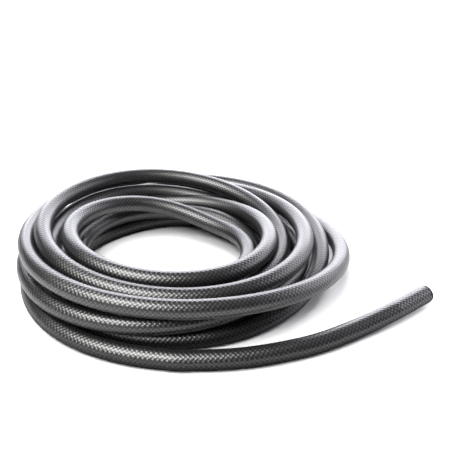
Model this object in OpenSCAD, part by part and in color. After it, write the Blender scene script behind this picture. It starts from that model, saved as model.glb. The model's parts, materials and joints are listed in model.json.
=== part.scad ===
// Length of plain braided vacuum hose, laid down in a loose coil of nine and a half turns.
// Millimetres. +Z is up and z = 0 is the surface that the coil lies on. The origin is the
// middle of the whole object's box, on that surface, and the free end points to +X.

/* [Hose] */
// Outside diameter of the hose, over the braid
hose_od = 19; // [17:0.5:26]
// Diameter of the bore
bore_d = 12; // [8:0.5:14]
// Thickness of the textile braid round the rubber tube
braid_t = 0.5; // [0.3:0.1:1]

/* [Ends] */
// Length of each square-cut straight end, as long as a hose barb reaches in
end_len = 30; // [20:1:45]

/* [Coil] */
// Radius of the eye of the coil: the circle that the innermost turn's centre line touches
eye_r = 57; // [50:1:120]

/* [Hidden] */

// The lay of the hose, turn by turn from the outer turn inwards. A row is one turn, and holds
// eight stations in the order that the hose passes them, clockwise as seen from above:
// front, front left, left, back left, back, back right, right, front right.
// REACH is how many hose widths the hose lies outside the eye, and LIFT how many hose widths
// its centre line is above the surface. The hose runs on a smooth curve drawn by the stations.
REACH = [
    [5.7, 5.6, 5.3, 5.8, 6.5, 6.7, 7.3, 5.5],
    [5.1, 5.1, 5.3, 5.8, 6.2, 6.4, 5.7, 5.0],
    [4.4, 4.4, 4.4, 4.4, 4.5, 4.4, 4.6, 4.1],
    [4.9, 5.4, 5.6, 5.0, 4.8, 4.7, 4.7, 4.5],
    [4.0, 4.0, 4.5, 4.4, 4.0, 3.5, 3.4, 3.1],
    [3.2, 3.7, 4.2, 4.1, 3.7, 3.3, 3.1, 3.2],
    [3.2, 3.3, 3.8, 3.5, 2.5, 2.2, 2.6, 2.8],
    [2.9, 2.9, 3.0, 1.4, 0.3, 0.0, 1.2, 2.2],
    [2.1, 2.2, 2.7, 2.4, 1.4, 1.2, 2.1, 2.1],
    [2.1, 2.1, 3.4, 2.3, 2.3, 2.0]
];
LIFT = [
    [0.5, 0.5, 0.5, 0.5, 0.5, 0.5, 1.1, 2.3],
    [2.9, 3.0, 2.7, 2.5, 1.6, 1.7, 1.3, 0.5],
    [0.5, 0.5, 0.5, 0.5, 0.6, 0.9, 0.9, 1.5],
    [1.7, 1.6, 1.6, 1.5, 1.8, 2.1, 2.3, 2.5],
    [2.7, 3.1, 3.4, 3.4, 2.9, 2.2, 1.6, 1.6],
    [1.7, 2.1, 2.3, 2.4, 1.8, 1.1, 0.5, 0.5],
    [0.5, 0.9, 1.4, 1.4, 1.7, 2.0, 2.4, 2.6],
    [2.9, 3.2, 3.2, 2.8, 2.1, 1.6, 1.7, 1.8],
    [1.6, 1.7, 1.5, 1.6, 1.4, 1.7, 0.8, 0.5],
    [0.5, 0.5, 0.5, 0.5, 0.6, 0.7]
];
// The same two numbers for the stretch that runs into the first station
LEAD_REACH = 7.4;
LEAD_LIFT = 0.5;

// Route of the free stretch, from the coil's first station to the free end, in mm to the right
// and to the back of that station. The last number goes from 0, pressed flat on the surface
// as the coil is, to 1, resting on it at its full round height. What it has above 1 is how many
// hose widths the stiff hose holds its end clear of the surface. The last two points give the
// heading of the free end, which runs straight for its own length and one hose width more.
FREE_ROUTE = [
    [0, 0, 0], [34, -1.5, 0], [69, 1, 0.2], [106, 9, 0.4],
    [146, 23, 0.8], [189, 46, 1.05], [233.6, 74.2, 1.16], [265.6, 98.2, 1.16]
];

press = 0.1;              // share of a hose width that the lowest turns are cut flat
seam = 0.01;              // gap that keeps the loose stretch out of the free end's exact bore
heading_step = 0.01;      // share of a station over which the coil's heading is taken
stations = 8;             // stations in a turn
rings_per_station = 3;
coil_sides = 6;
free_sides = 12;
end_fn = 96;

reach = [LEAD_REACH, for (turn = REACH) each turn];
lift = [LEAD_LIFT, for (turn = LIFT) each turn];
last_station = len(reach) - 3;
low_z = (0.5 - press) * hose_od;
round_z = hose_od / 2;

function unit(v) = v / norm(v);

// The free end's face and the object's middle are kept on whole hundredths of a millimetre
function hundredth(v) = round(v * 100) / 100;

// Value at place s of the smooth curve that the list v draws (a uniform cubic B-spline);
// s = 0 is the first station, which has one entry of the list before it
function smooth(v, s) =
    let (i = max(0, min(floor(s), last_station - 1)), f = s - i)
    (v[i] * pow(1 - f, 3) + v[i + 1] * (3 * pow(f, 3) - 6 * pow(f, 2) + 4)
     + v[i + 2] * (-3 * pow(f, 3) + 3 * pow(f, 2) + 3 * f + 1) + v[i + 3] * pow(f, 3)) / 6;

// Centre line of the coil, about its own axis
function coil_point(s) =
    let (a = 270 - s * 360 / stations, r = eye_r + smooth(reach, s) * hose_od)
    [r * cos(a), r * sin(a), (smooth(lift, s) - press) * hose_od];

function coil_heading(s) = unit(coil_point(s + heading_step) - coil_point(s - heading_step));

// A ring of corners round the hose, with one flat side down, kept above the surface
function ring(mid, heading, sides) =
    let (side = unit(cross(heading, [0, 0, 1])), up = cross(side, heading))
    [for (k = [0 : sides - 1])
        let (a = 270 - 180 / sides + k * 360 / sides,
             p = mid + hose_od / 2 * (side * cos(a) + up * sin(a)))
        [p.x, p.y, max(p.z, 0)]];

// One closed tube through rings of corners, in triangles
module tube(rings) {
    n = len(rings[0]);
    last = len(rings) - 1;
    polyhedron(
        points = [for (r = rings) each r],
        faces = [
            for (i = [0 : last - 1], k = [0 : n - 1])
                let (a = i * n + k, b = i * n + (k + 1) % n)
                each [[a, a + n, b], [b, a + n, b + n]],
            for (k = [1 : n - 2]) each [[0, k, k + 1], [last * n, last * n + k + 1, last * n + k]]
        ],
        convexity = 10
    );
}

// The coil's rings: straight for one hose width at each end, and on the smooth curve between
coil_steps = last_station * rings_per_station;
coil_start = coil_point(0);
coil_end = coil_point(last_station);
start_heading = let (h = coil_heading(0)) unit([h.x, h.y, 0]);
end_heading = let (h = coil_heading(last_station - heading_step)) unit([h.x, h.y, 0]);
inner_face = coil_end + end_heading * hose_od;
coil_mids = [
    coil_start,
    coil_start + start_heading * hose_od,
    for (i = [1 : coil_steps]) coil_point(i / rings_per_station),
    inner_face
];
coil_headings = [
    start_heading,
    start_heading,
    for (i = [1 : coil_steps - 1]) coil_heading(i / rings_per_station),
    end_heading,
    end_heading
];

// The free stretch's centre line, from the coil's first ring to the free end's back face
free_points = [
    for (p = FREE_ROUTE)
        [
            coil_start.x + p.x,
            coil_start.y + p.y,
            low_z + (round_z - low_z) * min(p.z, 1) + hose_od * max(p.z - 1, 0)
        ]
];
free_count = len(free_points);
free_face = [for (v = free_points[free_count - 1]) hundredth(v)];
free_heading = unit([for (k = [0 : 1]) FREE_ROUTE[free_count - 1][k] - FREE_ROUTE[free_count - 2][k], 0]);
free_back = free_face - free_heading * end_len;
free_mids = [
    free_points[0],
    free_points[0] - start_heading * hose_od,
    for (i = [2 : free_count - 3]) free_points[i],
    free_back - free_heading * hose_od,
    free_back - free_heading * seam
];
free_last = len(free_mids) - 1;
free_headings = [
    for (i = [0 : free_last])
        i < 2 ? -start_heading
        : i > free_last - 2 ? free_heading
        : unit(free_mids[i + 1] - free_mids[i - 1])
];

coil_rings = [for (i = [0 : len(coil_mids) - 1]) ring(coil_mids[i], coil_headings[i], coil_sides)];
free_rings = [for (i = [0 : free_last]) ring(free_mids[i], free_headings[i], free_sides)];

// Middle of the object's box, which the whole object is moved by
corners = [for (r = concat(coil_rings, free_rings)) each r];
free_reach_x = free_face.x + hose_od / 2 * abs(free_heading.y);
box_x = (min([for (p = corners) p.x]) + max(free_reach_x, max([for (p = corners) p.x]))) / 2;
box_y = (min([for (p = corners) p.y]) + max([for (p = corners) p.y])) / 2;
home = [-hundredth(box_x), -hundredth(box_y), 0];

// Least gap between the hose and itself, from each point of the whole centre line to each
// piece of it that is over half a turn further along
function to_piece(p, a, b) =
    let (ab = b - a, t = max(0, min(1, (p - a) * ab / (ab * ab)))) norm(p - a - t * ab);
line = concat(
    [free_face],
    [for (i = [free_last : -1 : 1]) free_mids[i]],
    coil_mids,
    [inner_face + end_heading * end_len]
);
half_turn = stations * rings_per_station / 2;
least_gap = min([
    for (i = [0 : len(line) - half_turn - 2], j = [i + half_turn : len(line) - 2])
        to_piece(line[i], line[j], line[j + 1])
]) - hose_od;
function length_of(points) =
    [for (i = 1, sum = norm(points[1] - points[0]); i < len(points);
          i = i + 1, sum = sum + (i < len(points) ? norm(points[i] - points[i - 1]) : 0)) sum]
    [len(points) - 2];
echo(least_gap_of_the_hose_to_itself = least_gap);
echo(length_of_the_hose = length_of(line));
echo(free_end_face = free_face + home, free_end_heading = free_heading);
echo(inner_end_face = inner_face + end_heading * end_len + home, inner_end_heading = end_heading);
// A spot on the flat underside of the third turn, which the coil rests on
rest_station = 17;
rest_ring = 1 + rest_station * rings_per_station;
rest_spot = (coil_rings[rest_ring][0] + coil_rings[rest_ring][1] + coil_rings[rest_ring + 1][0]) / 3;
echo(coil_axis = home, rest_spot = rest_spot + home);

// A straight length of pipe from a point, along a level heading
module pipe(start, heading, outer, inner) {
    translate(start)
        rotate([0, 0, atan2(heading.y, heading.x)])
            rotate([0, 90, 0])
                difference() {
                    cylinder(h = end_len, d = outer, $fn = end_fn);
                    translate([0, 0, -end_len / 2])
                        cylinder(h = 2 * end_len, d = inner, $fn = end_fn);
                }
}

// The wound part of the hose
module coil() {
    color("#26262a")
        translate(home)
            tube(coil_rings);
}

// The loose stretch that leaves the coil at the front and runs out to the right
module free_stretch() {
    color("#2c2c31")
        translate(home)
            tube(free_rings);
}

// Rubber tube of the hose at its free end
module free_end_tube() {
    color("#17171a")
        translate(home)
            pipe(free_back, free_heading, hose_od - 2 * braid_t, bore_d);
}

// Textile braid round the rubber at the free end
module free_end_braid() {
    color("#303035")
        translate(home)
            pipe(free_back, free_heading, hose_od, hose_od - 2 * braid_t);
}

// Rubber tube of the hose at the end that lies inside the coil
module inner_end_tube() {
    color("#17171a")
        translate(home)
            pipe(inner_face, end_heading, hose_od - 2 * braid_t, bore_d);
}

// Textile braid round the rubber at the inner end
module inner_end_braid() {
    color("#303035")
        translate(home)
            pipe(inner_face, end_heading, hose_od, hose_od - 2 * braid_t);
}

coil();
free_stretch();
free_end_tube();
free_end_braid();
inner_end_tube();
inner_end_braid();
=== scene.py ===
import json
import math

import bpy
import numpy as np
from bpy.props import FloatProperty, FloatVectorProperty, IntProperty, PointerProperty
from bpy.types import Operator, Panel, PropertyGroup
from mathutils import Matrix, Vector


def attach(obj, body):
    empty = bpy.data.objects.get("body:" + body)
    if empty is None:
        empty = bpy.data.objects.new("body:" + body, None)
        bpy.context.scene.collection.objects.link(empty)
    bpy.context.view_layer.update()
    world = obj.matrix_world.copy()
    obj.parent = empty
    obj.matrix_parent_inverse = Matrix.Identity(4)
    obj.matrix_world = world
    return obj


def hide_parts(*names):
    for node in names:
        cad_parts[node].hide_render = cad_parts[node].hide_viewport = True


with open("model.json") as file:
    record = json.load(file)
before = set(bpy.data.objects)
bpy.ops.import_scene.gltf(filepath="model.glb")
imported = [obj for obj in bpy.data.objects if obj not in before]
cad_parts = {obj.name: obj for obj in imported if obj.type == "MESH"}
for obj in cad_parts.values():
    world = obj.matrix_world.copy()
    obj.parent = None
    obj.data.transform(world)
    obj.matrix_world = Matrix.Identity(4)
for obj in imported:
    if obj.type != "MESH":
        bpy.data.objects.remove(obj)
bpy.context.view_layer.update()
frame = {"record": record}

bl_info = {
    "name": "Coiled Braided Hose",
    "version": (1, 0, 0),
    "blender": (4, 5, 0),
    "location": "View3D > Sidebar > Hose",
    "description": "Builds a loosely coiled, textile-braided rubber hose around its packed frame",
    "category": "Add Mesh",
}

BODY = "root"
MOUNTS = {mount["name"]: mount for mount in frame["record"]["mounts"]}
MM = 0.001

# ---------------------------------------------------------------------------
# The lay of the hose. The tables repeat the part's source: a row is one turn, and holds eight
# stations in the order that the hose passes them, clockwise as seen from above: front, front
# left, left, back left, back, back right, right, front right.

# How many hose widths the hose lies outside the coil's eye
REACH = [
    [5.7, 5.6, 5.3, 5.8, 6.5, 6.7, 7.3, 5.5],
    [5.1, 5.1, 5.3, 5.8, 6.2, 6.4, 5.7, 5.0],
    [4.4, 4.4, 4.4, 4.4, 4.5, 4.4, 4.6, 4.1],
    [4.9, 5.4, 5.6, 5.0, 4.8, 4.7, 4.7, 4.5],
    [4.0, 4.0, 4.5, 4.4, 4.0, 3.5, 3.4, 3.1],
    [3.2, 3.7, 4.2, 4.1, 3.7, 3.3, 3.1, 3.2],
    [3.2, 3.3, 3.8, 3.5, 2.5, 2.2, 2.6, 2.8],
    [2.9, 2.9, 3.0, 1.4, 0.3, 0.0, 1.2, 2.2],
    [2.1, 2.2, 2.7, 2.4, 1.4, 1.2, 2.1, 2.1],
    [2.1, 2.1, 3.4, 2.3, 2.3, 2.0],
]
# How many hose widths the hose's centre line lies above the floor
LIFT = [
    [0.5, 0.5, 0.5, 0.5, 0.5, 0.5, 1.1, 2.3],
    [2.9, 3.0, 2.7, 2.5, 1.6, 1.7, 1.3, 0.5],
    [0.5, 0.5, 0.5, 0.5, 0.6, 0.9, 0.9, 1.5],
    [1.7, 1.6, 1.6, 1.5, 1.8, 2.1, 2.3, 2.5],
    [2.7, 3.1, 3.4, 3.4, 2.9, 2.2, 1.6, 1.6],
    [1.7, 2.1, 2.3, 2.4, 1.8, 1.1, 0.5, 0.5],
    [0.5, 0.9, 1.4, 1.4, 1.7, 2.0, 2.4, 2.6],
    [2.9, 3.2, 3.2, 2.8, 2.1, 1.6, 1.7, 1.8],
    [1.6, 1.7, 1.5, 1.6, 1.4, 1.7, 0.8, 0.5],
    [0.5, 0.5, 0.5, 0.5, 0.6, 0.7],
]
# The same two numbers for a station before the first, which shape only how the coil begins
LEAD_REACH = 7.4
LEAD_LIFT = 0.5
# The free stretch, in mm to the right and to the back of the coil's first station. The last
# number goes from 0, pressed on the floor as the coil is, to 1, at its full round height. What it
# has above 1 is how many hose widths the hose stands off the floor.
FREE_ROUTE = [
    (0, 0, 0), (34, -1.5, 0), (69, 1, 0.2), (106, 9, 0.4),
    (146, 23, 0.8), (189, 46, 1.05), (233.6, 74.2, 1.16), (265.6, 98.2, 1.16),
]
STATIONS = 8  # in a turn
STEPS_PER_STATION = 60  # points of the centre line from one station to the next


class HoseSizes(PropertyGroup):
    """Sizes of the hose and of its braid."""

    outside: FloatProperty(
        name="Outside diameter", description="Diameter of the hose over the crowns of the braid",
        default=2 * MOUNTS["free_end_outside"]["dims"]["r_mm"] * MM, unit="LENGTH",
    )
    bore: FloatProperty(
        name="Bore", description="Diameter of the hose's bore",
        default=2 * MOUNTS["free_end_bore"]["dims"]["r_mm"] * MM, unit="LENGTH",
    )
    end_length: FloatProperty(
        name="Straight end", description="Length of the straight, square-cut ends",
        default=MOUNTS["free_end_bore"]["dims"]["length_mm"] * MM, unit="LENGTH",
    )
    eye: FloatProperty(
        name="Eye radius",
        description="Radius of the circle that the innermost turn's centre line touches",
        default=57 * MM, unit="LENGTH",
    )
    pressed: FloatProperty(
        name="Pressed flat",
        description="Share of the hose's width that the lowest turns are pressed flat by",
        default=0.02, min=0, max=0.1,
    )
    carriers: IntProperty(
        name="Yarns each way", description="Number of braid yarns that wind each way round the hose",
        default=12, min=6, max=24,
    )
    pick: FloatProperty(
        name="Pick length",
        description="Distance along the hose from one yarn crossing to the next in line",
        default=4.4 * MM, unit="LENGTH",
    )
    relief: FloatProperty(
        name="Relief", description="Height of a yarn's crown above the corner where four yarns meet",
        default=0.32 * MM, unit="LENGTH",
    )
    braid_pieces: IntProperty(
        name="Braid pieces", description="Number of lengths that the braid's mesh is kept in",
        default=8, min=1, max=16,
    )


class HoseColours(PropertyGroup):
    """Colours of the hose."""

    yarn: FloatVectorProperty(
        name="Yarn", description="Colour of the braid's yarn", subtype="COLOR", size=3,
        default=(0.005, 0.005, 0.0053),
    )
    # The crowns' lighter colour, over the darker yarn colour between them, is painted shade in the
    # grooves; how much lighter differs at random from yarn to yarn
    yarn_crown: FloatVectorProperty(
        name="Rubbed yarn", description="Colour of the yarn's rubbed crowns", subtype="COLOR", size=3,
        default=(0.012, 0.012, 0.0128),
    )
    rubber: FloatVectorProperty(
        name="Rubber", description="Colour of the rubber tube", subtype="COLOR", size=3,
        default=(0.007, 0.007, 0.0075),
    )


class HoseStage(PropertyGroup):
    """Camera, lamps and floor."""

    lens: FloatProperty(
        name="Focal length", description="Focal length of the camera in mm, on a 36 mm sensor",
        default=48.9, min=20, max=120,
    )
    tilt: FloatProperty(
        name="Tilt", description="Angle that the camera looks down by",
        default=math.radians(28), subtype="ANGLE",
    )
    key_power: FloatProperty(
        name="Key lamp",
        description="Power of the lamp at the upper left front, which gives the highlights",
        default=54.0, unit="POWER",
    )
    back_power: FloatProperty(
        name="Back lamp", description="Power of the wide lamp behind the coil",
        default=125.0, unit="POWER",
    )
    side_power: FloatProperty(
        name="Side lamp", description="Power of the lamp at the right",
        default=14.0, unit="POWER",
    )
    fill_power: FloatProperty(
        name="Fill lamp", description="Power of the soft lamp overhead, which gives no highlights",
        default=56.0, unit="POWER",
    )


# ---------------------------------------------------------------------------
# Route

def smooth_value(numbers, places):
    """Values at places along a uniform cubic B-spline; place 0 is the second number of the list."""
    numbers = np.asarray(numbers, float)
    span = np.clip(np.floor(places).astype(int), 0, len(numbers) - 4)
    f = places - span
    weights = ((1 - f) ** 3, 3 * f ** 3 - 6 * f ** 2 + 4, -3 * f ** 3 + 3 * f ** 2 + 3 * f + 1, f ** 3)
    return sum(numbers[span + k] * weight for k, weight in enumerate(weights)) / 6


def coil_line(sizes):
    """Centre line of the coil about its own axis, from its first station inwards."""
    reach = [LEAD_REACH] + [value for turn in REACH for value in turn]
    lift = [LEAD_LIFT] + [value for turn in LIFT for value in turn]
    last = len(reach) - 3
    places = np.linspace(0, last, last * STEPS_PER_STATION + 1)
    # From the front, clockwise as seen from above
    angle = np.radians(270 - places * 360 / STATIONS)
    radius = sizes.eye + smooth_value(reach, places) * sizes.outside
    height = (smooth_value(lift, places) - sizes.pressed) * sizes.outside
    return np.column_stack([radius * np.cos(angle), radius * np.sin(angle), height])


def free_points(sizes, start):
    """Points of the free stretch, from the coil's first station, at start, to the free end."""
    low = (0.5 - sizes.pressed) * sizes.outside
    high = sizes.outside / 2
    return np.array([
        (
            start[0] + x * MM, start[1] + y * MM,
            low + (high - low) * min(rise, 1) + sizes.outside * max(rise - 1, 0),
        )
        for x, y, rise in FREE_ROUTE
    ])


def coil_axis(sizes):
    """Where the coil's own axis meets the floor, in the row frame."""
    free_end = free_points(sizes, coil_line(sizes)[0])[-1]
    axis = np.array(MOUNTS["free_end_bore"]["pos_m"]) - free_end
    axis[2] = 0
    return axis


def curve_through(points, steps):
    """A smooth line through points, whose first and last only set the headings."""
    line = []
    for before, start, end, after in zip(points, points[1:], points[2:], points[3:]):
        for t in np.arange(steps) / steps:
            line.append(0.5 * (
                2 * start + (end - before) * t
                + (2 * before - 5 * start + 4 * end - after) * t ** 2
                + (3 * start - before - 3 * end + after) * t ** 3
            ))
    line.append(points[-2])
    return np.array(line)


def even_line(points, step):
    """The same line with its points an even distance apart, close to step."""
    along = np.r_[0, np.cumsum(np.linalg.norm(np.diff(points, axis=0), axis=1))]
    count = max(2, int(round(along[-1] / step)))
    places = np.linspace(0, along[-1], count + 1)
    return np.column_stack([np.interp(places, along, points[:, k]) for k in range(3)])


def hose_line(sizes, step):
    """Centre line of the whole hose in the row frame, from the free end to the inner end."""
    coil = coil_line(sizes)
    free = free_points(sizes, coil[0])
    away = free[-1] - free[-2]
    away /= np.linalg.norm(away)
    # Both ends run straight for the length of the straight end and one hose width more
    straight = sizes.end_length + sizes.outside
    back = free[-1] - away * straight
    knots = [coil[STEPS_PER_STATION // 2], *free[:-2], back, back + away * sizes.outside]
    loose = curve_through(knots, STEPS_PER_STATION)[::-1]
    onward = coil[-1] - coil[-2]
    onward[2] = 0
    inner_end = coil[-1] + onward / np.linalg.norm(onward) * straight
    inner_end[2] = sizes.outside / 2
    return even_line(np.vstack([free[-1], loose[:-1], coil, inner_end]), step) + coil_axis(sizes)


def frames_along(line):
    """Heading, side and up vectors at each point of a line that never stands upright."""
    heading = np.gradient(line, axis=0)
    heading /= np.linalg.norm(heading, axis=1)[:, None]
    side = np.cross(heading, [0, 0, 1])
    side /= np.linalg.norm(side, axis=1)[:, None]
    return heading, side, np.cross(side, heading)


# ---------------------------------------------------------------------------
# Meshes

CUTS = 4  # mesh cells across a yarn
BARE_ROWS = 5  # rows of the braid missing at each cut end, where the rubber shows
YARN_MAP = "yarns"
# Shape of a yarn's crown: powers below 1 make it fuller than a sine wave, across and lengthwise,
# and the dip is how high it still is where it goes under
CROWN_POWER = 0.7
ARCH_POWER = 0.8
CROWN_DIP = 0.45

TUBE_SIDES = 48
TUBE_STEP = 6 * MM
END_ROUNDING = 0.3 * MM
END_DISH = 0.1 * MM  # how far a cut face is sunk in the middle of the wall
BRAID_BED = 0.1 * MM  # how far the rubber lies below the lowest corners of the braid


def new_mesh(name, vertices, faces, material):
    """A smooth mesh object from arrays; faces is a list of arrays, one for each number of corners."""
    mesh = bpy.data.meshes.new(name)
    counts = np.concatenate([np.full(len(part), part.shape[1]) for part in faces])
    corners = np.concatenate([part.ravel() for part in faces]).astype(np.int32)
    starts = np.r_[0, np.cumsum(counts)[:-1]].astype(np.int32)
    mesh.vertices.add(len(vertices))
    mesh.vertices.foreach_set("co", np.asarray(vertices, np.float32).ravel())
    mesh.loops.add(len(corners))
    mesh.loops.foreach_set("vertex_index", corners)
    mesh.polygons.add(len(starts))
    mesh.polygons.foreach_set("loop_start", starts)
    mesh.polygons.foreach_set("use_smooth", np.ones(len(starts), bool))
    mesh.update(calc_edges=True)
    mesh.validate()
    mesh.materials.append(material)
    piece = bpy.data.objects.new(name, mesh)
    bpy.context.scene.collection.objects.link(piece)
    return piece


def braid_height(a, b):
    """Height of the braid, from 0 to 1, at places a and b among the yarns that wind each way.

    A whole number lies midway between two yarns.
    """
    fa, fb = a % 1, b % 1
    first_on_top = (np.floor(a) + np.floor(b)) % 2 < 1
    across = np.where(first_on_top, fa, fb)
    lengthwise = np.where(first_on_top, fb, fa)
    crown = np.clip(np.sin(np.pi * across), 0, 1) ** CROWN_POWER
    arch = np.clip(np.sin(np.pi * lengthwise), 0, 1) ** ARCH_POWER
    return crown * (CROWN_DIP + (1 - CROWN_DIP) * arch)


def braid_names(sizes):
    return [f"hose_braid_{number}" for number in range(1, sizes.braid_pieces + 1)]


def build_braid(sizes, material):
    """The braid: a sleeve of yarns that wind both ways and pass over and under each other."""
    line = hose_line(sizes, sizes.pick / (2 * CUTS))
    heading, side, up = frames_along(line)
    columns = sizes.carriers * CUTS
    # Every other row is turned by half a cell, so that the cells are diamonds along the yarns
    row = np.arange(len(line))[:, None]
    slot = 2 * np.arange(columns)[None, :] + row % 2
    first = (row + slot) / 2 / CUTS
    second = (row - slot) / 2 / CUTS
    angle = np.pi * slot / columns
    radius = sizes.outside / 2 - sizes.relief * (1 - braid_height(first, second))
    around = np.cos(angle)[..., None] * side[:, None] + np.sin(angle)[..., None] * up[:, None]
    points = line[:, None] + radius[..., None] * around
    # The floor presses the lowest turns flat
    points[..., 2] = np.maximum(points[..., 2], 0)
    cuts = np.linspace(BARE_ROWS, len(line) - 1 - BARE_ROWS, sizes.braid_pieces + 1)
    cuts = cuts.round().astype(int)
    return [
        braid_piece(name, points, first, second, start, end, material)
        for name, start, end in zip(braid_names(sizes), cuts, cuts[1:])
    ]


def braid_piece(name, points, first, second, start, end, material):
    """One length of the braid's mesh, from a start row to an end row.

    Its cells are diamonds, and a row of triangles closes it off at each end. Its UV map holds the
    places among the yarns that wind each way.
    """
    count, columns = end - start + 1, points.shape[1]
    index = np.arange(count * columns).reshape(count, columns)
    place = np.arange(columns)[None, :]
    odd = (np.arange(count)[:, None] + start) % 2
    left = (place - 1 + odd) % columns
    right = (place + odd) % columns
    ahead = np.arange(1, count - 1)[:, None]
    cells = np.stack([
        index[:-2], index[ahead, left[:-2]], index[2:], index[ahead, right[:-2]],
    ], axis=-1).reshape(-1, 4)
    after = (place[0] + 1) % columns
    front = np.stack([index[0], index[1][right[0]], index[0][after]], axis=-1)
    back = np.stack([index[-1], index[-1][after], index[-2][right[-1]]], axis=-1)
    piece = new_mesh(name, points[start:end + 1].reshape(-1, 3), [cells, front, back], material)
    step = 1 / CUTS
    a, b = first[start:end + 1], second[start:end + 1]
    corner = np.stack([a[:-2], b[:-2]], axis=-1).reshape(-1, 1, 2)
    on_cells = corner + np.array([[0, 0], [0, step], [step, step], [step, 0]])
    at_front = np.stack([a[0], b[0]], axis=-1)[:, None]
    at_front = at_front + np.array([[0, 0], [step, 0], [step, -step]])
    at_back = np.stack([a[-1], b[-1]], axis=-1)[:, None]
    at_back = at_back + np.array([[0, 0], [step, -step], [0, -step]])
    layer = piece.data.uv_layers.new(name=YARN_MAP)
    places = np.concatenate([part.reshape(-1, 2) for part in (on_cells, at_front, at_back)])
    layer.uv.foreach_set("vector", places.astype(np.float32).ravel())
    return piece


def build_tube(sizes, material):
    """The rubber tube, with its outside, its cut faces and its bore, and its centre line."""
    line = hose_line(sizes, TUBE_STEP)
    heading, side, up = frames_along(line)
    outer = sizes.outside / 2 - sizes.relief - BRAID_BED
    inner = sizes.bore / 2
    angle = np.linspace(0, 2 * np.pi, TUBE_SIDES, endpoint=False)
    across, upward = np.cos(angle)[None, :, None], np.sin(angle)[None, :, None]
    around = across * side[:, None] + upward * up[:, None]

    def ring(k, radius, inset=0.0):
        return line[k] + heading[k] * inset + radius * around[k]

    last = len(line) - 1
    rings = [ring(0, outer, END_ROUNDING)]
    rings += [ring(k, outer) for k in range(1, last)]
    rings += [
        ring(last, outer, -END_ROUNDING), ring(last, outer - END_ROUNDING),
        ring(last, (outer + inner) / 2, -END_DISH),
        ring(last, inner + END_ROUNDING), ring(last, inner, -END_ROUNDING),
    ]
    rings += [ring(k, inner) for k in range(last - 1, 0, -1)]
    rings += [
        ring(0, inner, END_ROUNDING), ring(0, inner + END_ROUNDING),
        ring(0, (outer + inner) / 2, END_DISH), ring(0, outer - END_ROUNDING),
    ]
    index = np.arange(len(rings) * TUBE_SIDES).reshape(len(rings), TUBE_SIDES)
    onward, beside = np.roll(index, -1, axis=0), np.roll(index, -1, axis=1)
    opposite = np.roll(beside, -1, axis=0)
    cells = np.stack([index, onward, opposite, beside], axis=-1).reshape(-1, 4)
    return new_mesh("hose_rubber_tube", np.concatenate(rings), [cells], material), line


# ---------------------------------------------------------------------------
# Materials

# Braid yarn. Its shading repeats the mesh's crowns, and adds what is too fine for the mesh.
ARCH_SHARE = 0.6  # share of a crown's height that it loses where it goes under
STRANDS = 4  # strands across a yarn
STRAND_HEIGHT = 0.3  # as a share of the yarn's own
STRAND_BUMP = 0.08 * MM
SECOND_YARNS = 500.0  # first number of the yarns that wind the second way
GROOVE_SHADE_POWER = 3.0  # keeps the lighter crown colour to the tops of the crowns, so the yarn is painted darker down into the grooves as shade
CROWN_LIGHT_LEAST = 0.5  # how light the crowns of the yarn with the least of it are, beside the one with the most: the crowns' painted lightness differs at random from yarn to yarn
YARN_ROUGHNESS = 0.36
GLOSS_HEIGHTS = (0.25, 0.8)  # between these heights of the braid the gloss goes from dull to full, a painted shade on the sheen in the grooves
GLOSS_LEVELS = (0.45, 1.0)
# Cut rubber
RUBBER_GRAIN = 900.0
RUBBER_LIGHT = 2.2  # how many times lighter the palest grain is
RUBBER_BUMP = 0.1 * MM
RUBBER_ROUGHNESS = 0.85
RUBBER_GLOSS = 0.05
BUMP_STRENGTH = 0.4


class Nodes:
    """Short ways to add shader nodes to one node tree."""

    def __init__(self, tree):
        self.tree = tree
        tree.nodes.clear()

    def add(self, kind, inputs=(), **settings):
        node = self.tree.nodes.new(kind)
        for name, value in settings.items():
            setattr(node, name, value)
        for place, value in dict(inputs).items():
            if isinstance(value, bpy.types.NodeSocket):
                self.tree.links.new(value, node.inputs[place])
            else:
                node.inputs[place].default_value = value
        return node

    def math(self, operation, first, second=0.0):
        return self.add("ShaderNodeMath", {0: first, 1: second}, operation=operation).outputs[0]

    def mix(self, share, first, second):
        node = self.add("ShaderNodeMix", {0: share, 2: first, 3: second}, data_type="FLOAT")
        return node.outputs[0]

    def mix_colours(self, share, first, second):
        inputs = {0: share, 6: (*first, 1), 7: (*second, 1)}
        return self.add("ShaderNodeMix", inputs, data_type="RGBA").outputs[2]

    def ramp(self, value, ends, results):
        """A value taken from one pair of ends to another, and held at them beyond."""
        inputs = {0: value, 1: ends[0], 2: ends[1], 3: results[0], 4: results[1]}
        return self.add("ShaderNodeMapRange", inputs).outputs[0]

    def finish(self, shader, output="ShaderNodeOutputMaterial"):
        self.tree.links.new(shader.outputs[0], self.add(output).inputs[0])


def new_material(name):
    material = bpy.data.materials.new(name)
    material.use_nodes = True
    return material, Nodes(material.node_tree)


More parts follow.
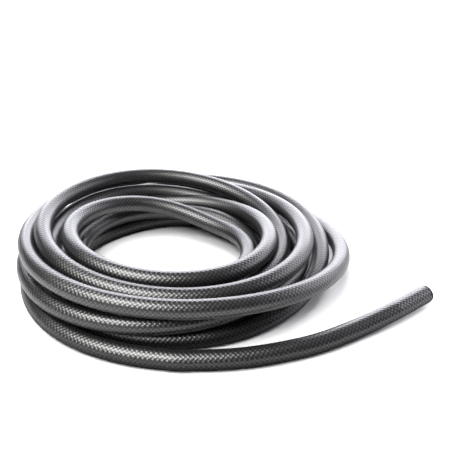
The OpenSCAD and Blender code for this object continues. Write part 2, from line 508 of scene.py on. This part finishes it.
def yarn_material(colours):
    """Black textile yarn: dull between the yarns, painted darker into the grooves as shade, each
    yarn's crowns lighter by a random amount, with strands along them.
    """
    material, n = new_material("braid_yarn")
    places = n.add("ShaderNodeUVMap", uv_map=YARN_MAP)
    split = n.add("ShaderNodeSeparateXYZ", {0: places.outputs[0]}).outputs
    yarn_a, yarn_b = n.math("FLOOR", split[0]), n.math("FLOOR", split[1])
    part_a, part_b = n.math("FRACT", split[0]), n.math("FRACT", split[1])
    turn = n.math("FLOORED_MODULO", n.math("ADD", yarn_a, yarn_b), 2.0)
    second_up = n.math("GREATER_THAN", turn, 0.5)
    across, along = n.mix(second_up, part_a, part_b), n.mix(second_up, part_b, part_a)
    yarn = n.mix(second_up, yarn_a, n.math("ADD", yarn_b, SECOND_YARNS))

    crown = n.math("POWER", n.math("SINE", n.math("MULTIPLY", across, math.pi)), CROWN_POWER)
    arch = n.math("MULTIPLY", n.math("SINE", n.math("MULTIPLY", along, math.pi)), ARCH_SHARE)
    height = n.math("MULTIPLY", crown, n.math("ADD", arch, 1 - ARCH_SHARE))
    strands = n.math("SINE", n.math("MULTIPLY", across, 2 * math.pi * STRANDS))
    bump = n.add("ShaderNodeBump", {
        "Strength": BUMP_STRENGTH, "Distance": STRAND_BUMP,
        "Height": n.math("ADD", height, n.math("MULTIPLY", strands, STRAND_HEIGHT)),
    })

    # A random tone for each yarn, and painted shade: the crowns lighter, the grooves darker
    shade = n.add("ShaderNodeTexWhiteNoise", {1: yarn}, noise_dimensions="1D").outputs[0]
    rubbed = n.math("ADD", n.math("MULTIPLY", shade, 1 - CROWN_LIGHT_LEAST), CROWN_LIGHT_LEAST)
    crown_tone_and_groove_shade = n.math("MULTIPLY", n.math("POWER", height, GROOVE_SHADE_POWER), rubbed)
    n.finish(n.add("ShaderNodeBsdfPrincipled", {
        "Base Color": n.mix_colours(crown_tone_and_groove_shade, colours.yarn, colours.yarn_crown),
        "Roughness": YARN_ROUGHNESS,
        "Specular IOR Level": n.ramp(height, GLOSS_HEIGHTS, GLOSS_LEVELS),
        "Normal": bump.outputs[0],
    }))
    return material


def rubber_material(colours):
    """Dull black rubber with a fine grain, as a knife leaves it."""
    material, n = new_material("cut_rubber")
    places = n.add("ShaderNodeTexCoord").outputs["Object"]
    grain = n.add("ShaderNodeTexNoise", {"Vector": places, "Scale": RUBBER_GRAIN, "Detail": 4.0})
    light = [RUBBER_LIGHT * part for part in colours.rubber]
    bump = n.add("ShaderNodeBump", {
        "Strength": BUMP_STRENGTH, "Distance": RUBBER_BUMP, "Height": grain.outputs[0],
    })
    n.finish(n.add("ShaderNodeBsdfPrincipled", {
        "Base Color": n.mix_colours(grain.outputs[0], colours.rubber, light),
        "Roughness": RUBBER_ROUGHNESS,
        "Specular IOR Level": RUBBER_GLOSS,
        "Normal": bump.outputs[0],
    }))
    return material


# ---------------------------------------------------------------------------
# Stage

SENSOR = 36  # mm
# Place of the camera from the coil's axis, in hose widths to the right, to the back and up
CAMERA_PLACE = (3.0, -31.5, 19.63)

FLOOR_SIZE = 12.0
FLOOR_TONE = 0.85
# The floor as the hose's sheen shows it: greyer than it is, and black where it is closest to the hose,
# a painted shade in the reflection where the hose lies on it
REFLECTED_SHADE_REACH = (0.0, 0.06)
REFLECTED_SHADE_TONES = (0.0, 0.8)
# Between these distances from the middle of the object the floor runs out into pure white
FADE_REACH = (0.22, 0.5)
ROOM_COLOUR = (0.9, 0.92, 1.0, 1)
ROOM_STRENGTH = 0.05

# The place of each lamp, the point that it faces, its width and height, and its colour
KEY_LAMP = ((-0.6, -0.6, 1.1), (0, -0.05, 0), (1.05, 1.05), (1, 1, 0.98))
BACK_LAMP = ((0, 1.9, 0.75), (0, 0, 0), (3.4, 1.3), (0.93, 0.93, 1))
SIDE_LAMP = ((1.4, 0.4, 0.6), (0, 0, 0), (1.2, 0.9), (0.94, 0.94, 1))
FILL_LAMP = ((-0.35, -0.5, 1.3), (0, 0, 0), (1.3, 1.3), (1, 1, 1))


def build_camera(sizes, stage):
    data = bpy.data.cameras.new("camera")
    data.lens = stage.lens
    data.sensor_width = SENSOR
    camera = bpy.data.objects.new("camera", data)
    camera.location = coil_axis(sizes) + np.array(CAMERA_PLACE) * sizes.outside
    camera.rotation_euler = (math.pi / 2 - stage.tilt, 0, 0)
    bpy.context.scene.collection.objects.link(camera)
    bpy.context.scene.camera = camera


def build_floor():
    material, n = new_material("white_floor")
    path = n.add("ShaderNodeLightPath").outputs
    # Glossy rays see the floor greyer, and painted black the shorter the ray, as shade in the hose's
    # reflection of it
    reflected_shade = n.ramp(path["Ray Length"], REFLECTED_SHADE_REACH, REFLECTED_SHADE_TONES)
    tone = n.mix(path["Is Glossy Ray"], FLOOR_TONE, reflected_shade)
    plain = n.add("ShaderNodeBsdfDiffuse", {0: tone})
    place = n.add("ShaderNodeNewGeometry").outputs["Position"]
    distance = n.add("ShaderNodeVectorMath", {0: place}, operation="LENGTH").outputs["Value"]
    fade = n.ramp(distance, FADE_REACH, (0.0, 1.0))
    seen = n.math("MULTIPLY", fade, path["Is Camera Ray"])
    glow = n.add("ShaderNodeEmission", {0: (1, 1, 1, 1), 1: seen})
    n.finish(n.add("ShaderNodeAddShader", {0: plain.outputs[0], 1: glow.outputs[0]}))
    half = FLOOR_SIZE / 2
    corners = [(-half, -half, 0), (half, -half, 0), (half, half, 0), (-half, half, 0)]
    new_mesh("floor", corners, [np.arange(4)[None]], material)


def build_world():
    world = bpy.data.worlds.new("studio")
    bpy.context.scene.world = world
    world.use_nodes = True
    n = Nodes(world.node_tree)
    seen = n.add("ShaderNodeLightPath").outputs["Is Camera Ray"]
    room = n.add("ShaderNodeBackground", {0: ROOM_COLOUR, 1: ROOM_STRENGTH})
    plain = n.add("ShaderNodeBackground", {0: (1, 1, 1, 1), 1: 1.0})
    mixed = n.add("ShaderNodeMixShader", {0: seen, 1: room.outputs[0], 2: plain.outputs[0]})
    n.finish(mixed, "ShaderNodeOutputWorld")


def add_lamp(name, power, place, target, size, colour):
    data = bpy.data.lights.new(name, "AREA")
    data.shape = "RECTANGLE"
    data.size, data.size_y = size
    data.color = colour
    data.energy = power
    lamp = bpy.data.objects.new(name, data)
    lamp.location = place
    lamp.rotation_mode = "QUATERNION"
    lamp.rotation_quaternion = (Vector(target) - Vector(place)).to_track_quat("-Z", "Y")
    bpy.context.scene.collection.objects.link(lamp)
    return lamp


# ---------------------------------------------------------------------------
# Operators

class HOSE_OT_stage(Operator):
    """Add the camera, the lamps and the floor"""

    bl_idname = "hose.add_stage"
    bl_label = "Stage"

    def execute(self, context):
        sizes, stage = context.scene.hose_sizes, context.scene.hose_stage
        context.scene.view_settings.view_transform = "Standard"
        build_camera(sizes, stage)
        build_floor()
        build_world()
        key = add_lamp("key_lamp", stage.key_power, *KEY_LAMP)
        add_lamp("back_lamp", stage.back_power, *BACK_LAMP)
        add_lamp("side_lamp", stage.side_power, *SIDE_LAMP)
        fill = add_lamp("fill_lamp", stage.fill_power, *FILL_LAMP)
        key.visible_diffuse = False
        fill.visible_glossy = False
        return {"FINISHED"}


class HOSE_OT_braid(Operator):
    """Add the textile braid that covers the hose from end to end"""

    bl_idname = "hose.add_braid"
    bl_label = "Braid"

    def execute(self, context):
        sizes, colours = context.scene.hose_sizes, context.scene.hose_colours
        braid = build_braid(sizes, yarn_material(colours))
        for piece in braid:
            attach(piece, BODY)
        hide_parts("coil", "free_stretch", "free_end_braid", "inner_end_braid")
        return {"FINISHED"}


class HOSE_OT_tube(Operator):
    """Add the rubber tube inside the braid"""

    bl_idname = "hose.add_tube"
    bl_label = "Rubber Tube"

    def execute(self, context):
        sizes, colours = context.scene.hose_sizes, context.scene.hose_colours
        tube, line = build_tube(sizes, rubber_material(colours))
        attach(tube, BODY)
        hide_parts("free_end_tube", "inner_end_tube")
        return {"FINISHED"}


class HOSE_PT_panel(Panel):
    """Sizes, colours and buttons of the coiled hose"""

    bl_label = "Coiled Hose"
    bl_idname = "HOSE_PT_panel"
    bl_space_type = "VIEW_3D"
    bl_region_type = "UI"
    bl_category = "Hose"

    def draw(self, context):
        layout, scene = self.layout, context.scene
        for group in (scene.hose_sizes, scene.hose_colours, scene.hose_stage):
            for name in group.__annotations__:
                layout.prop(group, name)
        for operator in OPERATORS:
            layout.operator(operator.bl_idname)


OPERATORS = (HOSE_OT_stage, HOSE_OT_braid, HOSE_OT_tube)
CLASSES = (HoseSizes, HoseColours, HoseStage, *OPERATORS, HOSE_PT_panel)


def register():
    for item in CLASSES:
        bpy.utils.register_class(item)
    bpy.types.Scene.hose_sizes = PointerProperty(type=HoseSizes)
    bpy.types.Scene.hose_colours = PointerProperty(type=HoseColours)
    bpy.types.Scene.hose_stage = PointerProperty(type=HoseStage)


def unregister():
    del bpy.types.Scene.hose_stage
    del bpy.types.Scene.hose_colours
    del bpy.types.Scene.hose_sizes
    for item in reversed(CLASSES):
        bpy.utils.unregister_class(item)


def main():
    register()
    bpy.ops.hose.add_stage()
    bpy.ops.hose.add_braid()
    bpy.ops.hose.add_tube()


if __name__ == "__main__":
    main()
